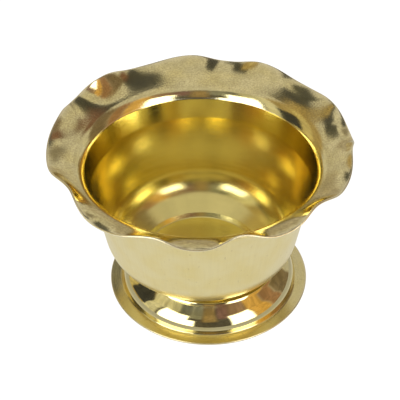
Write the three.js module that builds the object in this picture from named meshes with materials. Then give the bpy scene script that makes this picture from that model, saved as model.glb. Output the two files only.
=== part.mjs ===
// Diya, a small brass oil lamp: a pressed sheet bowl with a hand-crimped flared rim,
// soldered onto a spun hollow foot. Millimetres, +Z up, standing on the plane z = 0.
// The origin is the centre of the lamp's box, on that plane.

import * as THREE from 'three';

// ---- Driving dimensions: millimetres, and degrees where the name says so ----

const SHEET = 0.5; // thickness of the brass sheet of bowl and foot

// Foot
const FOOT_RADIUS = 26;
const SEAT_HEIGHT = 6.1;
const SEAT_RADIUS = 17.95;
const SEAT_HOLE_RADIUS = 9;

const RIDGE_INNER_RADIUS = 18.05; // a low ridge round the seat keeps the bowl on the foot
const RIDGE_RADIUS = 18.5;
const RIDGE_HEIGHT = 6.9;

// The foot's turned curve from the ridge down to the flange, as arcs that run into each other:
// [radius, slope where it starts, slope where it ends, steps], slopes in degrees below the
// horizontal. The first arc is hollow, the others bulge, and the last one meets the flange.
const FOOT_CURVE = [
  [1.6, 62, 38.5, 2],
  [92, 38.5, 40, 1],
  [6.283, 40, 86, 7],
];

// Bowl, from its middle outwards: heights and radii of its inner surface
const BOWL_OFFSET_X = -1.9; // the bowl was soldered on a little off the foot's axis
const FLOOR_RADIUS = 14.7;
const FLOOR_HEIGHT = 6.8;
const STEP_RADIUS = 15.7;
const STEP_HEIGHT = 7.8;
const CORNER_RADIUS = 23.29; // where the lines of the sloping bottom and of the wall would meet
const CORNER_HEIGHT = 12.07;
const CORNER_LEAN = 0.7; // pressed a little out of true: the corner is this much lower on +X
const CORNER_ROUND = 10;
const WALL_TAPER_DEG = 9.7;
const FLARE_HEIGHT = 31.7; // the wall opens out a little more above this height
const FLARE_ROUND = 8;
const THROAT_RADIUS = 28.1; // a crisp line where the wall ends and the roll of the rim begins
const THROAT_HEIGHT = 36.8;
const ROLL_START_SLOPE_DEG = 65;
const ROLL_ROUND = 6;

// Ruffled flange, outside the roll
const FLANGE_SLOPE_DEG = 27.4;
const FLANGE_WIDTH = 6.85;
const FLANGE_CURL = 2.53; // lift at the very edge, as a multiple of the lift given for a crimp
const FLANGE_TRIM_BACK = 1.7; // the sheet was trimmed off centre: wider at the back
const FLANGE_TRIM_OVAL = 0.25; // and slightly oval
const CRIMP_SHARPNESS = 1.3; // above 1, a fold is narrower than the hollow beside it

// The ten hand crimps: [direction of the fold, lift of the fold, lift of the hollow after it],
// in degrees. A lift is how much steeper than the flange's mean slope the sheet stands there.
const CRIMPS = [
  [354, 8, -14],
  [26, 0, -9],
  [64, 4, -7],
  [94, 4, -5],
  [136, 14, -3],
  [163, 8, -6],
  [211, 16, -13],
  [253, 5, -11],
  [284, 11, -9],
  [317, 11, -8],
];

// Solder bead round the joint
const BEAD_RADIUS = 15.8;
const BEAD_HEIGHT = 6.45;
const BEAD_ROUND = 0.25;

// How finely curves are divided
const BOWL_SEGMENTS = 90;
const FOOT_SEGMENTS = 64;
const BEAD_SEGMENTS = 48;
const BEAD_SIDES = 8;
const CORNER_STEPS = 8;
const FLARE_STEPS = 2;
const ROLL_STEPS = 4;
const FLANGE_STEPS = 4;

// ---- Materials ----

function brass(color, roughness) {
  return new THREE.MeshStandardMaterial({ color, roughness, metalness: 1 });
}

const satinBrass = brass(0xd6c68e, 0.34);
const polishedBrass = brass(0xd9c27a, 0.1);
const solderMetal = brass(0xa08a4c, 0.45);

// ---- Helpers ----

const radians = THREE.MathUtils.degToRad;

// Points on an arc in the section plane, from one angle to another, both ends included.
function arc(centreR, centreZ, round, fromDeg, toDeg, steps) {
  const points = [];
  for (let i = 0; i <= steps; i += 1) {
    const angle = radians(fromDeg + ((toDeg - fromDeg) * i) / steps);
    points.push(new THREE.Vector2(centreR + round * Math.cos(angle), centreZ + round * Math.sin(angle)));
  }
  return points;
}

// A rounded corner in the section plane: an arc that touches the line from the point before the
// corner and the line to the point after it.
function roundedCorner(before, corner, after, round, steps) {
  const back = before.clone().sub(corner).normalize();
  const ahead = after.clone().sub(corner).normalize();
  const halfAngle = Math.acos(back.dot(ahead)) / 2;
  const toTouch = round / Math.tan(halfAngle);
  const toCentre = round / Math.sin(halfAngle);
  const centre = corner.clone().addScaledVector(back.clone().add(ahead).normalize(), toCentre);
  const firstTouch = corner.clone().addScaledVector(back, toTouch);
  const lastTouch = corner.clone().addScaledVector(ahead, toTouch);
  const from = firstTouch.clone().sub(centre);
  const to = lastTouch.clone().sub(centre);
  const turn = Math.atan2(from.cross(to), from.dot(to));
  const points = [];
  for (let i = 0; i <= steps; i += 1) {
    points.push(firstTouch.clone().rotateAround(centre, (turn * i) / steps));
  }
  return points;
}

// The other face of a sheet: each point moved by the sheet's thickness to the right of the path.
function offsetSection(path, thickness) {
  return path.map((point, i) => {
    const before = path[Math.max(i - 1, 0)];
    const after = path[Math.min(i + 1, path.length - 1)];
    const along = after.clone().sub(before).normalize();
    return new THREE.Vector2(point.x + along.y * thickness, point.y - along.x * thickness);
  });
}

// A solid of revolution about Z whose section may change with the direction it is seen from.
// sectionAt(azimuth) returns the outline in the section plane, always with the same number of
// points. It runs counterclockwise, with radius to the right and height up.
function revolve(sectionAt, segments) {
  const geometry = new THREE.LatheGeometry(sectionAt(0), segments);
  const position = geometry.getAttribute('position');
  for (let i = 0; i <= segments; i += 1) {
    const azimuth = ((i % segments) / segments) * Math.PI * 2;
    sectionAt(azimuth).forEach((point, j, outline) => {
      const index = i * outline.length + j;
      position.setXYZ(index, point.x * Math.cos(azimuth), point.x * Math.sin(azimuth), point.y);
    });
  }
  geometry.computeVertexNormals();
  return geometry;
}

function named(name, geometry, material) {
  const mesh = new THREE.Mesh(geometry, material);
  mesh.name = name;
  return mesh;
}

// ---- Bowl ----

// Lift of the flange, in degrees, in one direction: the nearest fold's at the fold, falling
// smoothly to the hollow's half way to the next fold.
function crimpLift(azimuth) {
  const degrees = THREE.MathUtils.radToDeg(azimuth);
  const fromFold = CRIMPS.map(([direction]) => THREE.MathUtils.euclideanModulo(degrees - direction, 360));
  const k = fromFold.indexOf(Math.min(...fromFold));
  const [direction, fold, hollow] = CRIMPS[k];
  const [nextDirection, nextFold] = CRIMPS[(k + 1) % CRIMPS.length];
  const share = fromFold[k] / THREE.MathUtils.euclideanModulo(nextDirection - direction, 360);
  const nearest = share < 0.5 ? fold : nextFold;
  const ridge = ((1 + Math.cos(2 * Math.PI * share)) / 2) ** CRIMP_SHARPNESS;
  return hollow + (nearest - hollow) * ridge;
}

// The flange's own line from the end of the roll: it starts at the mean slope and curls up to
// a fold or down to a hollow towards its edge.
function flangeLine(start, azimuth) {
  const trim = FLANGE_TRIM_BACK * Math.sin(azimuth) - FLANGE_TRIM_OVAL * Math.cos(2 * azimuth);
  const stride = (FLANGE_WIDTH + trim) / FLANGE_STEPS;
  const lift = crimpLift(azimuth);
  const points = [];
  let last = start;
  for (let i = 0; i < FLANGE_STEPS; i += 1) {
    const share = (i + 0.5) / FLANGE_STEPS;
    const slope = radians(FLANGE_SLOPE_DEG + FLANGE_CURL * share * lift);
    last = new THREE.Vector2(last.x + stride * Math.cos(slope), last.y + stride * Math.sin(slope));
    points.push(last);
  }
  return points;
}

// Inner surface of the bowl from the middle of its floor to the edge of its rim.
function bowlInnerLine(azimuth) {
  const step = new THREE.Vector2(STEP_RADIUS, STEP_HEIGHT);
  const corner = new THREE.Vector2(CORNER_RADIUS, CORNER_HEIGHT - CORNER_LEAN * Math.cos(azimuth));
  const wallSpread = (FLARE_HEIGHT - corner.y) * Math.tan(radians(WALL_TAPER_DEG));
  const flare = new THREE.Vector2(corner.x + wallSpread, FLARE_HEIGHT);
  const throat = new THREE.Vector2(THROAT_RADIUS, THROAT_HEIGHT);
  const startSlope = radians(ROLL_START_SLOPE_DEG);
  const roll = arc(
    THROAT_RADIUS + ROLL_ROUND * Math.sin(startSlope),
    THROAT_HEIGHT - ROLL_ROUND * Math.cos(startSlope),
    ROLL_ROUND,
    90 + ROLL_START_SLOPE_DEG,
    90 + FLANGE_SLOPE_DEG,
    ROLL_STEPS,
  );
  return [
    new THREE.Vector2(0, FLOOR_HEIGHT),
    new THREE.Vector2(FLOOR_RADIUS, FLOOR_HEIGHT),
    step,
    ...roundedCorner(step, corner, flare, CORNER_ROUND, CORNER_STEPS),
    ...roundedCorner(corner, flare, throat, FLARE_ROUND, FLARE_STEPS),
    ...roll,
    ...flangeLine(roll[ROLL_STEPS], azimuth),
  ];
}

function bowlSection(azimuth) {
  const inner = bowlInnerLine(azimuth);
  const outer = offsetSection(inner, SHEET);
  return [...outer, ...inner.reverse()];
}

function makeBowl() {
  const bowl = named('bowl', revolve(bowlSection, BOWL_SEGMENTS), satinBrass);
  bowl.position.x = BOWL_OFFSET_X;
  return bowl;
}

// ---- Foot ----

// Points of an arc in the section plane that leads outwards and down from a start, its slope
// changing from one value to another.
function slopingArc(start, round, fromDeg, toDeg, steps) {
  const bend = toDeg > fromDeg ? round : -round;
  const first = radians(fromDeg);
  const points = [];
  for (let i = 1; i <= steps; i += 1) {
    const slope = radians(fromDeg + ((toDeg - fromDeg) * i) / steps);
    const run = bend * (Math.sin(slope) - Math.sin(first));
    const drop = bend * (Math.cos(first) - Math.cos(slope));
    points.push(new THREE.Vector2(start.x + run, start.y - drop));
  }
  return points;
}

// The foot's turned curve, from the top of the ridge to the flange.
function footCurve() {
  const line = [new THREE.Vector2(RIDGE_RADIUS, RIDGE_HEIGHT)];
  FOOT_CURVE.forEach(([round, fromDeg, toDeg, steps]) => {
    line.push(...slopingArc(line[line.length - 1], round, fromDeg, toDeg, steps));
  });
  line[line.length - 1].setY(SHEET);
  return line;
}

// The seat and ridge above, a level underside below them, and a sheet's thickness elsewhere.
function footSection() {
  const curve = footCurve();
  const underCurve = offsetSection(curve, SHEET).filter((point) => point.y < SEAT_HEIGHT - SHEET);
  const flangeStart = underCurve.pop();
  const underSeat = SEAT_HEIGHT - SHEET;
  const lower = [
    new THREE.Vector2(SEAT_HOLE_RADIUS, underSeat),
    new THREE.Vector2(RIDGE_RADIUS, underSeat),
    ...underCurve,
    new THREE.Vector2(flangeStart.x, 0),
    new THREE.Vector2(FOOT_RADIUS, 0),
  ];
  const upper = [
    new THREE.Vector2(SEAT_HOLE_RADIUS, SEAT_HEIGHT),
    new THREE.Vector2(SEAT_RADIUS, SEAT_HEIGHT),
    new THREE.Vector2(RIDGE_INNER_RADIUS, RIDGE_HEIGHT),
    ...curve,
    new THREE.Vector2(FOOT_RADIUS, SHEET),
  ];
  return [...lower, ...upper.reverse(), lower[0].clone()];
}

function makeFoot() {
  return named('foot', revolve(footSection, FOOT_SEGMENTS), polishedBrass);
}

// ---- Solder ----

function beadSection() {
  const points = arc(BEAD_RADIUS, BEAD_HEIGHT, BEAD_ROUND, 0, 360, BEAD_SIDES);
  points[BEAD_SIDES].copy(points[0]);
  return points;
}

function makeSolderBead() {
  const bead = named('solder_bead', revolve(beadSection, BEAD_SEGMENTS), solderMetal);
  bead.position.x = BOWL_OFFSET_X;
  return bead;
}

// ---- Assembly ----

const lamp = new THREE.Group();
lamp.add(makeFoot(), makeSolderBead(), makeBowl());

// Centre the lamp's box on the Z axis.
const centre = new THREE.Box3().setFromObject(lamp, true).getCenter(new THREE.Vector3());
lamp.position.set(-centre.x, -centre.y, 0);

export default lamp;
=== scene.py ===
"""The looks of a brass diya, a small oil lamp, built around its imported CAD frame."""

import math

import bpy
from mathutils import Matrix, Vector


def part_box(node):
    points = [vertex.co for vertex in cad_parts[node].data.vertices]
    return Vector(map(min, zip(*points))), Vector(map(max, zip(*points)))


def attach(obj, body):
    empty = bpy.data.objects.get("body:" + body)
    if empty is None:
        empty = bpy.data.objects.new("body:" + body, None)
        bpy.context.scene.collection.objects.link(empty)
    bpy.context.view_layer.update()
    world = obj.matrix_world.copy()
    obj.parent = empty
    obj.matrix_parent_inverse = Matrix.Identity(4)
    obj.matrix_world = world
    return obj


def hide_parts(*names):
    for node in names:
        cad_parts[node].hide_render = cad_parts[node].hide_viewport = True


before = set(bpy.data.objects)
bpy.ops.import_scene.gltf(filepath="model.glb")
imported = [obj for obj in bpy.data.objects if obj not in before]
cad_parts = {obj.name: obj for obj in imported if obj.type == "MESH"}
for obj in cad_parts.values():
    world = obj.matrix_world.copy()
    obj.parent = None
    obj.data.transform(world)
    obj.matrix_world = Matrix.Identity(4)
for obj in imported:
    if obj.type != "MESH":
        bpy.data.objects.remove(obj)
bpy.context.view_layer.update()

# ---- Dimensions of the lamp, as the CAD has them: millimetres, degrees where the name says so ----

MM = 0.001
SHEET = 0.5

# Foot
FOOT_RADIUS = 26.0
SEAT_HEIGHT = 6.1
SEAT_RADIUS = 17.95
SEAT_HOLE_RADIUS = 9.0
SEAT_EDGE_ROUND = 0.1

RIDGE_INNER_RADIUS = 18.05
RIDGE_RADIUS = 18.5
RIDGE_HEIGHT = 6.9
RIDGE_BEVEL = 0.12
RIM_BEVEL = 0.1

# The foot's turned curve from its ridge down to its flange: [radius of the arc, slope where it
# starts, slope where it ends], slopes in degrees below the horizontal. The third arc ends a little
# sooner than the CAD's, because a small hollow arc that the CAD leaves out joins it to the flange.
FOOT_CURVE = [
    [1.6, 62, 38.5],
    [92, 38.5, 40],
    [6.283, 40, 83.2],
    [0.35, 83.2, 0],
]

# Bowl: heights and radii of its inner surface
FLOOR_RADIUS = 14.7
FLOOR_HEIGHT = 6.8
FLOOR_ROUND = 0.6
STEP_RADIUS = 15.7
STEP_HEIGHT = 7.8
STEP_ROUND = 0.8
CORNER_RADIUS = 23.29
CORNER_HEIGHT = 12.07
CORNER_LEAN = 0.7
CORNER_ROUND = 10.0
WALL_TAPER_DEG = 9.7
FLARE_HEIGHT = 31.7
FLARE_ROUND = 8.0
THROAT_RADIUS = 28.1
THROAT_HEIGHT = 36.8
ROLL_START_SLOPE_DEG = 65.0
ROLL_ROUND = 6.0

# Ruffled flange
FLANGE_SLOPE_DEG = 27.4
FLANGE_WIDTH = 6.85
FLANGE_CURL = 2.53
FLANGE_TRIM_BACK = 1.7
FLANGE_TRIM_OVAL = 0.25
CRIMP_SHARPNESS = 1.3

# The ten hand crimps: [direction of the fold, lift of the fold, lift of the hollow after it],
# all in degrees
CRIMPS = [
    [354, 8, -14],
    [26, 0, -9],
    [64, 4, -7],
    [94, 4, -5],
    [136, 14, -3],
    [163, 8, -6],
    [211, 16, -13],
    [253, 5, -11],
    [284, 11, -9],
    [317, 11, -8],
]

# Solder bead
BEAD_RADIUS = 15.8
BEAD_HEIGHT = 6.45
BEAD_ROUND = 0.25

# ---- How finely the shown pieces are divided ----

AROUND_BOWL = 400
AROUND_FOOT = 256
AROUND_BEAD = 240
FLOOR_STEPS = 8
FLOOR_ROUND_STEPS = 5
SLOPE_STEPS = 8
CORNER_STEPS = 24
WALL_STEPS = 12
FLARE_STEPS = 6
ROLL_STEPS = 14
FLANGE_STEPS = 24
EDGE_STEPS = 6
SEAT_STEPS = 6
SEAT_EDGE_STEPS = 3
FOOT_ARC_STEPS = 12
UNDERSIDE_STEPS = 6
BEAD_SIDES = 24

# Rows between the throat and the wall's upper bend, and across the foot's flange, as shares of the way
THROAT_ROWS = (0.5, 0.95)
FLANGE_ROWS = (0.02, 0.06, 0.2, 0.4, 0.6, 0.8, 0.93, 0.97)

# Rows on the foot's rim itself, and rows of its flange next to the rim that are worn too
RIM_ROWS = 2
WORN_ROWS = 2

# ---- Metal ----

PALE_BRASS = (0.88, 0.78, 0.43, 1)
WARM_BRASS = (0.86, 0.74, 0.35, 1)
# Painted shade: a deeper, more saturated copy of the brass for the inside of the bowl below the throat,
# standing in for the gold that light bounced round inside the cup gives
INSIDE_BOUNCE_SHADED_BRASS = (0.86, 0.74, 0.29, 1)
TARNISH = (0.42, 0.31, 0.15, 1)
# Pale colour of worn edges, also used on the bowl for a painted highlight along its throat
WORN_EDGE_AND_HIGHLIGHT = (0.95, 0.86, 0.58, 1)
WORN_ROUGHNESS = 0.22
UNDERSIDE_ROUGHNESS = 0.4

# The radius at which a pattern has its true size round the lamp, in millimetres
MEAN_RADIUS = 25.0

# How far wear reaches in from the sheet's edge, how far to both sides of the throat the colour
# changes, and how far to both sides of the wall's upper bend the polish does, in millimetres
EDGE_WEAR_REACH = 0.5
THROAT_BLEND = 0.2
FLARE_BLEND = 1.0

# The flange's grain starts and is complete at these shares of the roll
GRAIN_STARTS = 0.45
GRAIN_COMPLETE = 0.95

# ---- Camera and surroundings ----

# The camera's place is counted from where the foot's axis meets the floor. Its lens and sensor are
# in millimetres.
CAMERA_PLACE = Vector((-2.15, -184.3, 176.4)) * MM
CAMERA_TILT_DEG = 39.40
CAMERA_ROLL_DEG = -0.35
CAMERA_LENS = 85.5
CAMERA_SENSOR = 36

WHITE = (1, 1, 1, 1)

# The floor reaches 3 m to each side. It glows less where it is seen at a grazing angle.
FLOOR_REACH = 3.0
FLOOR_GREY = (0.15, 0.15, 0.15, 1)
FLOOR_ROUGHNESS = 0.9
FLOOR_GLOW = 0.65
GRAZING_GLOW = 0.35

CEILING = (0.62, 0.59, 0.53, 1)

# The rest of the room: [bearing from, bearing to, height from, height to, softness, colour].
# A bearing is measured in degrees from the camera's side towards the right, a height in degrees
# above the horizon. Later rows cover earlier ones, and the last three are the soft lights.
BEARING_ENDS = (-180, 180)
HEIGHT_ENDS = (-90, 90)
PANELS = [
    [-163, -120, 46, 64, 5, (0.08, 0.08, 0.08)],
    [-180, -152, 38, 54, 5, (0.09, 0.09, 0.08)],
    [-141, -84, -90, 58, 6, (0.42, 0.32, 0.15)],
    [-124, -108, -90, 50, 4, (0.60, 0.50, 0.25)],
    [-84, -60, -90, 58, 4, (0.68, 0.64, 0.48)],
    [-180, -160, -90, 27, 8, (0.46, 0.41, 0.33)],
    [165, 180, -90, 20, 8, (0.46, 0.41, 0.33)],
    [-108, -82, 5, 38, 2, (0.05, 0.05, 0.05)],
    [119, 164, 46, 77, 5, (0.08, 0.08, 0.08)],
    [153, 171, 30, 43, 6, (0.27, 0.24, 0.20)],
    [124, 141, 34, 52, 5, (0.20, 0.11, 0.08)],
    [-66, 62, -90, 58, 5, (0.10, 0.09, 0.08)],
    [-66, -44, 40, 58, 8, (0.60, 0.57, 0.42)],
    [-44, -28, 36, 58, 8, (0.17, 0.17, 0.16)],
    [-28, -10, 36, 58, 5, (0.27, 0.27, 0.24)],
    [-8, 10, 25, 58, 9, (0.34, 0.24, 0.12)],
    [12, 32, 36, 58, 9, (0.22, 0.13, 0.13)],
    [32, 56, 40, 58, 9, (0.32, 0.21, 0.16)],
    [56, 80, -90, 55, 6, (0.70, 0.42, 0.13)],
    [80, 98, -90, 52, 6, (0.35, 0.20, 0.12)],
    [98, 124, -90, 50, 5, (0.21, 0.16, 0.11)],
    [-62, -28, 0, 44, 4, (3.2, 3.2, 3.1)],
    [-30, -18, 0, 26, 4, (3.2, 3.2, 3.1)],
    [27, 56, 0, 43, 5, (3.2, 3.2, 3.1)],
]

# Things in the room make it unevenly bright
CLUTTER_SCALE = 9
CLUTTER_DISTORTION = 1.5
CLUTTER_DARKEST = 0.78
CLUTTER_BRIGHTEST = 1.16


# ---- Sections: outlines in the plane of radius and height ----

def arc(centre_r, centre_z, round_, from_deg, to_deg, steps):
    """Points of an arc with both its ends."""
    points = []
    for i in range(steps + 1):
        angle = math.radians(from_deg + (to_deg - from_deg) * i / steps)
        points.append(Vector((centre_r + round_ * math.cos(angle), centre_z + round_ * math.sin(angle))))
    return points


def rounded_corner(before, corner, after, round_, steps):
    """An arc that touches the line from before to corner and the line from corner to after."""
    back = (before - corner).normalized()
    ahead = (after - corner).normalized()
    half_angle = math.acos(back.dot(ahead)) / 2
    centre = corner + (back + ahead).normalized() * round_ / math.sin(half_angle)
    first = corner + back * round_ / math.tan(half_angle) - centre
    last = corner + ahead * round_ / math.tan(half_angle) - centre
    turn = math.atan2(first.cross(last), first.dot(last))
    points = []
    for i in range(steps + 1):
        angle = turn * i / steps
        points.append(centre + Matrix.Rotation(angle, 2) @ first)
    return points


def straight(start, end, steps):
    """Points strictly between start and end, so that a long line is divided too."""
    return [start.lerp(end, i / steps) for i in range(1, steps)]


def offset_section(path, thickness):
    """The sheet's other face: each point moved to the right of the path."""
    moved = []
    for i, point in enumerate(path):
        before = path[max(i - 1, 0)]
        after = path[min(i + 1, len(path) - 1)]
        along = (after - before).normalized()
        moved.append(point + Vector((along.y, -along.x)) * thickness)
    return moved


def crimp_lift(azimuth):
    """How much steeper than its mean slope the flange stands in one direction, in degrees."""
    degrees = math.degrees(azimuth)
    from_fold = [(degrees - direction) % 360 for direction, _, _ in CRIMPS]
    k = from_fold.index(min(from_fold))
    direction, fold, hollow = CRIMPS[k]
    next_direction, next_fold, _ = CRIMPS[(k + 1) % len(CRIMPS)]
    share = from_fold[k] / ((next_direction - direction) % 360)
    nearest = fold if share < 0.5 else next_fold
    ridge = ((1 + math.cos(2 * math.pi * share)) / 2) ** CRIMP_SHARPNESS
    return hollow + (nearest - hollow) * ridge


def flange_line(start, azimuth):
    """The ruffled flange, which curls more and more from the roll to its edge."""
    trim = FLANGE_TRIM_BACK * math.sin(azimuth) - FLANGE_TRIM_OVAL * math.cos(2 * azimuth)
    width = FLANGE_WIDTH + trim - SHEET / 2
    stride = width / FLANGE_STEPS
    lift = crimp_lift(azimuth)
    points = []
    last = start
    for i in range(FLANGE_STEPS):
        share = (i + 0.5) / FLANGE_STEPS
        slope = math.radians(FLANGE_SLOPE_DEG + FLANGE_CURL * share * lift)
        last = last + Vector((math.cos(slope), math.sin(slope))) * stride
        points.append(last)
    return points


def bowl_inner_line(azimuth):
    """The bowl's inner surface, from the middle of its floor out to the edge of its flange."""
    floor_edge = Vector((FLOOR_RADIUS, FLOOR_HEIGHT))
    step = Vector((STEP_RADIUS, STEP_HEIGHT))
    corner = Vector((CORNER_RADIUS, CORNER_HEIGHT - CORNER_LEAN * math.cos(azimuth)))
    wall_spread = (FLARE_HEIGHT - corner.y) * math.tan(math.radians(WALL_TAPER_DEG))
    flare = Vector((corner.x + wall_spread, FLARE_HEIGHT))
    throat = Vector((THROAT_RADIUS, THROAT_HEIGHT))
    start_slope = math.radians(ROLL_START_SLOPE_DEG)
    roll_centre = throat + Vector((math.sin(start_slope), -math.cos(start_slope))) * ROLL_ROUND
    middle = Vector((0, FLOOR_HEIGHT))
    lower = rounded_corner(step, corner, flare, CORNER_ROUND, CORNER_STEPS)
    upper = rounded_corner(corner, flare, throat, FLARE_ROUND, FLARE_STEPS)
    roll = arc(*roll_centre, ROLL_ROUND, 90 + ROLL_START_SLOPE_DEG, 90 + FLANGE_SLOPE_DEG, ROLL_STEPS)
    return [
        middle,
        *straight(middle, floor_edge, FLOOR_STEPS),
        *rounded_corner(middle, floor_edge, step, FLOOR_ROUND, FLOOR_ROUND_STEPS),
        *rounded_corner(floor_edge, step, corner, STEP_ROUND, FLOOR_ROUND_STEPS),
        *straight(step, lower[0], SLOPE_STEPS),
        *lower,
        *straight(lower[-1], upper[0], WALL_STEPS),
        *upper,
        *[upper[-1].lerp(throat, share) for share in THROAT_ROWS],
        *roll,
        *flange_line(roll[-1], azimuth),
    ]


def travel_to(point_height):
    """Distance in millimetres along the bowl's inner surface, from its middle up to a height."""
    line = bowl_inner_line(0)
    lengths = [(ahead - point).length for point, ahead in zip(line, line[1:]) if ahead.y <= point_height]
    return sum(lengths)


def sheet_edge(inner_end, outer_end):
    """The sheet's half-round edge, from its inner face to its outer face."""
    centre = (inner_end + outer_end) / 2
    spoke = inner_end - centre
    return [centre + Matrix.Rotation(-math.pi * i / EDGE_STEPS, 2) @ spoke for i in range(1, EDGE_STEPS)]


def bowl_section(azimuth):
    """The closed outline of the bowl's sheet, cut in one direction from its axis."""
    inner = bowl_inner_line(azimuth)
    outer = offset_section(inner, SHEET)
    return [*inner, *sheet_edge(inner[-1], outer[-1]), *reversed(outer)]


def sloping_arc(start, round_, from_deg, to_deg, steps):
    """Points of an arc that leads outwards and down from a start, its slope changing evenly."""
    bend = math.copysign(round_, to_deg - from_deg)
    first = math.radians(from_deg)
    points = []
    for i in range(1, steps + 1):
        slope = math.radians(from_deg + (to_deg - from_deg) * i / steps)
        run = bend * (math.sin(slope) - math.sin(first))
        drop = bend * (math.cos(first) - math.cos(slope))
        points.append(start + Vector((run, -drop)))
    return points


def seat_line():
    """The top of the seat from its hole outwards, and the inner side of the ridge round it."""
    hole_top = Vector((SEAT_HOLE_RADIUS, SEAT_HEIGHT))
    seat_edge = Vector((SEAT_RADIUS, SEAT_HEIGHT))
    ridge_inside = Vector((RIDGE_INNER_RADIUS, RIDGE_HEIGHT))
    return [
        hole_top,
        *straight(hole_top, seat_edge, SEAT_STEPS),
        *rounded_corner(hole_top, seat_edge, ridge_inside, SEAT_EDGE_ROUND, SEAT_EDGE_STEPS),
        ridge_inside - Vector((0, RIDGE_BEVEL)),
        ridge_inside + Vector((RIDGE_BEVEL, 0)),
    ]


def foot_curve_line():
    """The polished curve, from the ridge down to the top of the flange."""
    curve = [Vector((RIDGE_RADIUS, RIDGE_HEIGHT))]
    for round_, from_deg, to_deg in FOOT_CURVE:
        curve += sloping_arc(curve[-1], round_, from_deg, to_deg, FOOT_ARC_STEPS)
    curve[-1].y = SHEET
    return curve


def foot_section():
    """The closed outline of the foot's shell, over its top and back underneath."""
    curve = foot_curve_line()
    under_seat = SEAT_HEIGHT - SHEET
    under_curve = [point for point in offset_section(curve, SHEET) if point.y < under_seat]
    rim_top = Vector((FOOT_RADIUS, SHEET))
    rim_foot = Vector((FOOT_RADIUS, 0))
    flange_inside = Vector((under_curve[-1].x, 0))
    seat_outside = Vector((RIDGE_RADIUS, under_seat))
    hole_foot = Vector((SEAT_HOLE_RADIUS, under_seat))
    return [
        *seat_line(),
        *curve,
        *[curve[-1].lerp(rim_top, share) for share in FLANGE_ROWS],
        rim_top - Vector((0, RIM_BEVEL)),
        rim_foot + Vector((0, RIM_BEVEL)),
        *straight(rim_foot, flange_inside, UNDERSIDE_STEPS),
        flange_inside,
        *reversed(under_curve[:-1]),
        seat_outside,
        *straight(seat_outside, hole_foot, UNDERSIDE_STEPS),
        hole_foot,
    ]


def bead_section():
    """A full circle, whose last point stops one side short of its first."""
    last_deg = 360 - 360 / BEAD_SIDES
    return list(reversed(arc(BEAD_RADIUS, BEAD_HEIGHT, BEAD_ROUND, 0, last_deg, BEAD_SIDES - 1)))


# ---- Finish of each row of a section ----

# Three shares: how far the row is on the flange, how far on the sheet's outer or under face, and
# how worn it is

def edge_wear(distance):
    """How worn a point is, by its distance from the sheet's edge in millimetres."""
    return math.exp(-distance / EDGE_WEAR_REACH)


def bowl_finish(row):
    inner_rows = len(bowl_inner_line(0))
    roll_start = inner_rows - FLANGE_STEPS - ROLL_STEPS - 1
    outer_start = inner_rows + EDGE_STEPS - 1
    stride = FLANGE_WIDTH / FLANGE_STEPS
    if row < inner_rows:
        along_roll = (row - roll_start) / ROLL_STEPS
        on_flange = (along_roll - GRAIN_STARTS) / (GRAIN_COMPLETE - GRAIN_STARTS)
        return (min(max(on_flange, 0), 1), 0.0, edge_wear((inner_rows - 1 - row) * stride))
    if row < outer_start:
        return (1.0, 0.0, 1.0)
    return (0.0, 1.0, edge_wear((row - outer_start) * stride))


def foot_finish(row):
    flange_start = len(seat_line()) + len(foot_curve_line()) - 1
    rim = flange_start + len(FLANGE_ROWS) + 1
    if row < flange_start:
        return (0.0, 0.0, 0.0)
    if row < rim - WORN_ROWS:
        return (1.0, 0.0, 0.0)
    if row < rim + RIM_ROWS:
        return (1.0, 0.0, 1.0)
    return (1.0, 1.0, 0.0)


def plain_finish(row):
    """For a piece whose finish is the same all over."""
    return (0.0, 0.0, 0.0)


# ---- Meshes ----

def same_all_round(section):
    """The section of a piece that is the same in every direction."""
    return lambda azimuth: section


def faces_between(rings):
    """Faces from each ring of vertices to the next, and from the last to the first."""
    faces = []
    for ring, next_ring in zip(rings, rings[1:] + rings[:1]):
        for i in range(len(ring)):
            k = (i + 1) % len(ring)
            corners = list(dict.fromkeys((ring[i], next_ring[i], next_ring[k], ring[k])))
            if len(corners) > 2:
                faces.append(corners)
    return faces


def revolve(name, section_at, axis, around, material, finish_of):
    """A closed solid of revolution about a vertical axis. Its section may change with azimuth.

    Each vertex keeps where it was turned, as (cosine, sine, distance along the section in mm),
    and the finish of its row.
    """
    azimuths = [2 * math.pi * i / around for i in range(around)]
    sections = [section_at(azimuth) for azimuth in azimuths]
    vertices = []
    turned = []
    finish = []
    rings = []
    travelled = [0.0] * around
    for row, first_point in enumerate(sections[0]):
        on_axis = math.isclose(first_point.x, 0, abs_tol=1e-6)
        row_finish = finish_of(row)
        ring = []
        for i, azimuth in enumerate(azimuths):
            point = sections[i][row]
            if row > 0:
                travelled[i] += (point - sections[i][row - 1]).length
            if not on_axis or i == 0:
                r = point.x * MM
                place = (axis.x + r * math.cos(azimuth), axis.y + r * math.sin(azimuth), point.y * MM)
                vertices.append(place)
                turned.append((math.cos(azimuth), math.sin(azimuth), travelled[i]))
                finish.append(row_finish)
            ring.append(len(vertices) - 1)
        rings.append(ring)
    mesh = bpy.data.meshes.new(name)
    mesh.from_pydata(vertices, [], faces_between(rings))
    for attribute_name, values in (("turned", turned), ("finish", finish)):
        attribute = mesh.attributes.new(attribute_name, "FLOAT_VECTOR", "POINT")
        attribute.data.foreach_set("vector", [number for value in values for number in value])
    mesh.shade_smooth()
    mesh.materials.append(material)
    piece = bpy.data.objects.new(name, mesh)
    bpy.context.scene.collection.objects.link(piece)
    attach(piece, "root")
    return piece


def axis_of(node):
    """Where the vertical axis of a round CAD node meets the floor, in metres."""
    low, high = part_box(node)
    centre = (Vector(low) + Vector(high)) / 2
    return Vector((centre.x, centre.y, 0))


# ---- Materials ----

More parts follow.
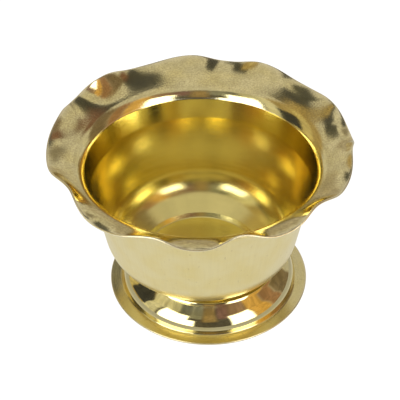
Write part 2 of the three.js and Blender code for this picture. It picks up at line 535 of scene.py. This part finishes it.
class Painter:
    """Short names for the shader nodes of one node tree."""

    def __init__(self, tree):
        self.tree = tree

    def join(self, value, socket):
        if isinstance(value, bpy.types.NodeSocket):
            self.tree.links.new(value, socket)
        else:
            socket.default_value = value

    def math(self, operation, *values):
        node = self.tree.nodes.new("ShaderNodeMath")
        node.operation = operation
        for value, socket in zip(values, node.inputs):
            self.join(value, socket)
        return node.outputs[0]

    def spread(self, value, low, high, to_low, to_high, curve="SMOOTHSTEP"):
        """The value's range from low to high, spread over another range."""
        node = self.tree.nodes.new("ShaderNodeMapRange")
        node.interpolation_type = curve
        for k, part in enumerate((value, low, high, to_low, to_high)):
            self.join(part, node.inputs[k])
        return node.outputs["Result"]

    def beyond(self, value, edge, reach):
        """0 below the edge and 1 above it, with a soft change that reaches to both sides."""
        return self.spread(value, edge - reach, edge + reach, 0, 1)

    def blend(self, share, first, second):
        """Two colours mixed."""
        node = self.tree.nodes.new("ShaderNodeMix")
        node.data_type = "RGBA"
        self.join(share, node.inputs["Factor"])
        self.join(first, node.inputs[6])
        self.join(second, node.inputs[7])
        return node.outputs[2]

    def mix(self, share, first, second):
        """Two numbers mixed."""
        node = self.tree.nodes.new("ShaderNodeMix")
        self.join(share, node.inputs[0])
        self.join(first, node.inputs[2])
        self.join(second, node.inputs[3])
        return node.outputs[0]

    def attribute(self, name):
        node = self.tree.nodes.new("ShaderNodeAttribute")
        node.attribute_name = name
        return node.outputs["Vector"]

    def parts(self, vector):
        node = self.tree.nodes.new("ShaderNodeSeparateXYZ")
        self.tree.links.new(vector, node.inputs[0])
        return node.outputs

    def stretched(self, vector, around, along):
        """Coordinates with this many repeats per millimetre around the lamp and along the section."""
        node = self.tree.nodes.new("ShaderNodeVectorMath")
        node.operation = "MULTIPLY"
        self.tree.links.new(vector, node.inputs[0])
        node.inputs[1].default_value = (around * MEAN_RADIUS, around * MEAN_RADIUS, along)
        return node.outputs[0]

    def scaled(self, vector, factor):
        node = self.tree.nodes.new("ShaderNodeVectorMath")
        node.operation = "SCALE"
        self.tree.links.new(vector, node.inputs[0])
        self.tree.links.new(factor, node.inputs["Scale"])
        return node.outputs[0]

    def noise(self, vector, detail, distortion=0.0, scale=1.0):
        node = self.tree.nodes.new("ShaderNodeTexNoise")
        self.tree.links.new(vector, node.inputs["Vector"])
        node.inputs["Scale"].default_value = scale
        node.inputs["Detail"].default_value = detail
        node.inputs["Distortion"].default_value = distortion
        return node.outputs["Fac"]

    def bump(self, height, distance, under=None):
        """Relief of the given height in millimetres, on top of another relief if there is one."""
        node = self.tree.nodes.new("ShaderNodeBump")
        node.inputs["Distance"].default_value = distance * MM
        self.tree.links.new(height, node.inputs["Height"])
        if under is not None:
            self.tree.links.new(under, node.inputs["Normal"])
        return node.outputs[0]


def new_metal(name):
    material = bpy.data.materials.new(name)
    material.use_nodes = True
    shader = material.node_tree.nodes["Principled BSDF"]
    shader.inputs["Metallic"].default_value = 1
    return material, shader, Painter(material.node_tree)


def satin_brass():
    """The bowl: softly polished inside, grainy on the flange and satin outside."""
    material, shader, paint = new_metal("Brass_satin")
    throat_travel = travel_to(THROAT_HEIGHT)
    turned = paint.attribute("turned")
    flange, outside, edge = paint.parts(paint.attribute("finish"))
    travelled = paint.parts(turned)[2]
    above_throat = paint.beyond(travelled, throat_travel, THROAT_BLEND)
    above_flare = paint.beyond(travelled, travel_to(FLARE_HEIGHT), FLARE_BLEND)

    grain = paint.noise(paint.stretched(turned, 2.6, 2.6), 4.0)
    turning = paint.noise(paint.stretched(turned, 0.12, 5.0), 3.0)
    drawn = paint.noise(paint.stretched(turned, 2.2, 0.12), 3.0)
    patches = paint.noise(paint.stretched(turned, 0.16, 0.2), 3.0)
    specks = paint.noise(paint.stretched(turned, 1.3, 1.3), 1.0)

    colour = paint.blend(paint.spread(patches, 0.35, 0.7, 0, 1), PALE_BRASS, WARM_BRASS)
    # Painted shade: below the throat the bowl's inside takes the deeper brass that stands for light
    # bounced round inside the cup
    colour = paint.blend(above_throat, INSIDE_BOUNCE_SHADED_BRASS, colour)
    brushed = paint.spread(drawn, 0.3, 0.75, 0.0, 0.05)
    colour = paint.blend(brushed, colour, TARNISH)
    mottle = paint.math("MULTIPLY", flange, paint.spread(grain, 0.36, 0.64, 0.0, 0.3))
    colour = paint.blend(mottle, colour, TARNISH)
    spots = paint.spread(specks, 0.72, 0.8, 0.0, 0.45)
    colour = paint.blend(spots, colour, TARNISH)
    # Painted highlight: a thin pale line along the throat stands in for the bright reflection on its
    # crease. It is laid on together with the real wear at the sheet's edge, in the pale worn colour and
    # roughness.
    from_throat = paint.math("ABSOLUTE", paint.math("SUBTRACT", travelled, throat_travel))
    painted_throat_highlight = paint.spread(from_throat, 0.06, 0.22, 0.8, 0)
    edge_wear_and_throat_highlight = paint.math("MAXIMUM", edge, painted_throat_highlight)
    pale_share = paint.math("MULTIPLY", edge_wear_and_throat_highlight, paint.spread(grain, 0.3, 0.6, 0.7, 1))
    colour = paint.blend(pale_share, colour, WORN_EDGE_AND_HIGHLIGHT)
    paint.join(colour, shader.inputs["Base Color"])

    cup_rough = paint.spread(turning, 0.3, 0.7, 0.14, 0.21)
    band_rough = paint.spread(turning, 0.3, 0.7, 0.08, 0.13)
    flange_rough = paint.spread(grain, 0.3, 0.7, 0.10, 0.16)
    outside_rough = paint.spread(drawn, 0.3, 0.7, 0.29, 0.34)
    rough = paint.mix(above_flare, cup_rough, band_rough)
    rough = paint.mix(flange, rough, flange_rough)
    rough = paint.mix(outside, rough, outside_rough)
    rough = paint.mix(pale_share, rough, WORN_ROUGHNESS)
    paint.join(rough, shader.inputs["Roughness"])

    relief = paint.bump(patches, 0.012)
    relief = paint.bump(turning, 0.002, relief)
    relief = paint.bump(grain, 0.013, relief)
    paint.join(relief, shader.inputs["Normal"])
    return material


def polished_brass():
    """The foot: a mirror finish on its curve, brushed on its flange and dull underneath."""
    material, shader, paint = new_metal("Brass_polished")
    turned = paint.attribute("turned")
    flange, underside, edge = paint.parts(paint.attribute("finish"))

    waves = paint.noise(paint.stretched(turned, 0.1, 0.25), 1.0)
    turning = paint.noise(paint.stretched(turned, 0.15, 9.0), 3.0)
    scratches = paint.noise(paint.stretched(turned, 2.5, 0.35), 4.0, distortion=0.4)
    patches = paint.noise(paint.stretched(turned, 0.12, 0.3), 3.0)
    grain = paint.noise(paint.stretched(turned, 5.0, 5.0), 2.0)

    colour = paint.blend(paint.spread(patches, 0.35, 0.7, 0, 1), PALE_BRASS, WARM_BRASS)
    scored = paint.math("MULTIPLY", flange, paint.spread(scratches, 0.6, 0.75, 0, 0.5))
    colour = paint.blend(scored, colour, TARNISH)
    pale_share = paint.math("MULTIPLY", edge, paint.spread(grain, 0.3, 0.6, 0.3, 1))
    colour = paint.blend(pale_share, colour, WORN_EDGE_AND_HIGHLIGHT)
    paint.join(colour, shader.inputs["Base Color"])

    curve_rough = paint.spread(patches, 0.3, 0.8, 0.05, 0.09)
    flange_rough = paint.spread(turning, 0.3, 0.7, 0.18, 0.26)
    rough = paint.mix(flange, curve_rough, flange_rough)
    rough = paint.mix(underside, rough, UNDERSIDE_ROUGHNESS)
    paint.join(rough, shader.inputs["Roughness"])

    relief = paint.bump(waves, 0.03)
    marks = paint.math("MULTIPLY", flange, turning)
    relief = paint.bump(marks, 0.006, relief)
    paint.join(relief, shader.inputs["Normal"])
    return material


def solder_metal():
    """The solder: dull yellow metal, lumpy and blotched."""
    material, shader, paint = new_metal("Solder")
    turned = paint.attribute("turned")
    blotches = paint.noise(paint.stretched(turned, 0.5, 1.0), 3.0)
    lumps = paint.noise(paint.stretched(turned, 1.2, 1.5), 2.0)
    colour = paint.blend(paint.spread(blotches, 0.4, 0.65, 0, 0.7), WARM_BRASS, TARNISH)
    paint.join(colour, shader.inputs["Base Color"])
    paint.join(paint.spread(lumps, 0.3, 0.7, 0.2, 0.38), shader.inputs["Roughness"])
    paint.join(paint.bump(lumps, 0.12), shader.inputs["Normal"])
    return material


# ---- The three pieces ----

foot_axis = axis_of("foot")
bowl_axis = axis_of("solder_bead")
foot_outline = same_all_round(foot_section())
bead_outline = same_all_round(bead_section())

bowl = revolve("Bowl_sheet", bowl_section, bowl_axis, AROUND_BOWL, satin_brass(), bowl_finish)
foot = revolve("Foot_sheet", foot_outline, foot_axis, AROUND_FOOT, polished_brass(), foot_finish)
bead = revolve("Solder_ring", bead_outline, bowl_axis, AROUND_BEAD, solder_metal(), plain_finish)
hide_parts("bowl")
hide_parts("foot")
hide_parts("solder_bead")


# ---- Floor, light and camera ----

def make_floor():
    """A white light-table: the camera sees it pure white, the lamp a little dimmer."""
    mesh = bpy.data.meshes.new("Floor")
    corners = [(x * FLOOR_REACH, y * FLOOR_REACH, 0) for x, y in ((-1, -1), (1, -1), (1, 1), (-1, 1))]
    mesh.from_pydata(corners, [], [(0, 1, 2, 3)])
    floor = bpy.data.objects.new("Floor", mesh)
    bpy.context.scene.collection.objects.link(floor)
    material = bpy.data.materials.new("Floor_white")
    material.use_nodes = True
    nodes = material.node_tree.nodes
    shader = nodes["Principled BSDF"]
    shader.inputs["Base Color"].default_value = FLOOR_GREY
    shader.inputs["Roughness"].default_value = FLOOR_ROUGHNESS
    shader.inputs["Specular IOR Level"].default_value = 0
    shader.inputs["Emission Color"].default_value = WHITE
    paint = Painter(material.node_tree)
    seen = nodes.new("ShaderNodeLightPath").outputs["Is Camera Ray"]
    facing = nodes.new("ShaderNodeLayerWeight").outputs["Facing"]
    glow = paint.spread(facing, 0.5, 0.85, FLOOR_GLOW, GRAZING_GLOW)
    paint.join(paint.mix(seen, glow, 1.0), shader.inputs["Emission Strength"])
    mesh.materials.append(material)


def make_camera():
    data = bpy.data.cameras.new("Camera")
    data.lens = CAMERA_LENS
    data.sensor_width = CAMERA_SENSOR
    camera = bpy.data.objects.new("Camera", data)
    bpy.context.scene.collection.objects.link(camera)
    turn = Matrix.Rotation(math.radians(90 - CAMERA_TILT_DEG), 4, "X")
    roll = Matrix.Rotation(math.radians(CAMERA_ROLL_DEG), 4, "Z")
    camera.matrix_world = Matrix.Translation(foot_axis + CAMERA_PLACE) @ turn @ roll
    bpy.context.scene.camera = camera


def between(paint, value, low, high, ends, softness):
    """Masks that together leave only the values from low to high. At an end there is no edge."""
    masks = []
    if low > ends[0]:
        masks.append(paint.spread(value, low - softness / 2, low + softness / 2, 0, 1))
    if high < ends[1]:
        masks.append(paint.spread(value, high - softness / 2, high + softness / 2, 1, 0))
    return masks


def make_world():
    """The room that the metal reflects. The camera itself sees white instead."""
    world = bpy.data.worlds.new("Studio")
    world.use_nodes = True
    bpy.context.scene.world = world
    nodes = world.node_tree.nodes
    paint = Painter(world.node_tree)

    direction = nodes.new("ShaderNodeTexCoord").outputs["Generated"]
    x, y, z = paint.parts(direction)
    to_degrees = math.degrees(1)
    towards_camera = paint.math("MULTIPLY", y, -1)
    bearing = paint.math("MULTIPLY", paint.math("ARCTAN2", x, towards_camera), to_degrees)
    height = paint.math("MULTIPLY", paint.math("ARCSINE", z), to_degrees)

    colour = CEILING
    for west, east, low, high, softness, shade in PANELS:
        masks = [
            *between(paint, bearing, west, east, BEARING_ENDS, softness),
            *between(paint, height, low, high, HEIGHT_ENDS, softness),
        ]
        covered = masks[0]
        for mask in masks[1:]:
            covered = paint.math("MULTIPLY", covered, mask)
        colour = paint.blend(covered, colour, (*shade, 1))

    clutter = paint.noise(direction, 1.0, CLUTTER_DISTORTION, CLUTTER_SCALE)
    brightness = paint.spread(clutter, 0.38, 0.62, CLUTTER_DARKEST, CLUTTER_BRIGHTEST, "LINEAR")
    colour = paint.scaled(colour, brightness)

    seen = nodes.new("ShaderNodeLightPath").outputs["Is Camera Ray"]
    paint.join(paint.blend(seen, colour, WHITE), nodes["Background"].inputs["Color"])


make_floor()
make_camera()
make_world()
bpy.context.scene.view_settings.view_transform = "Standard"
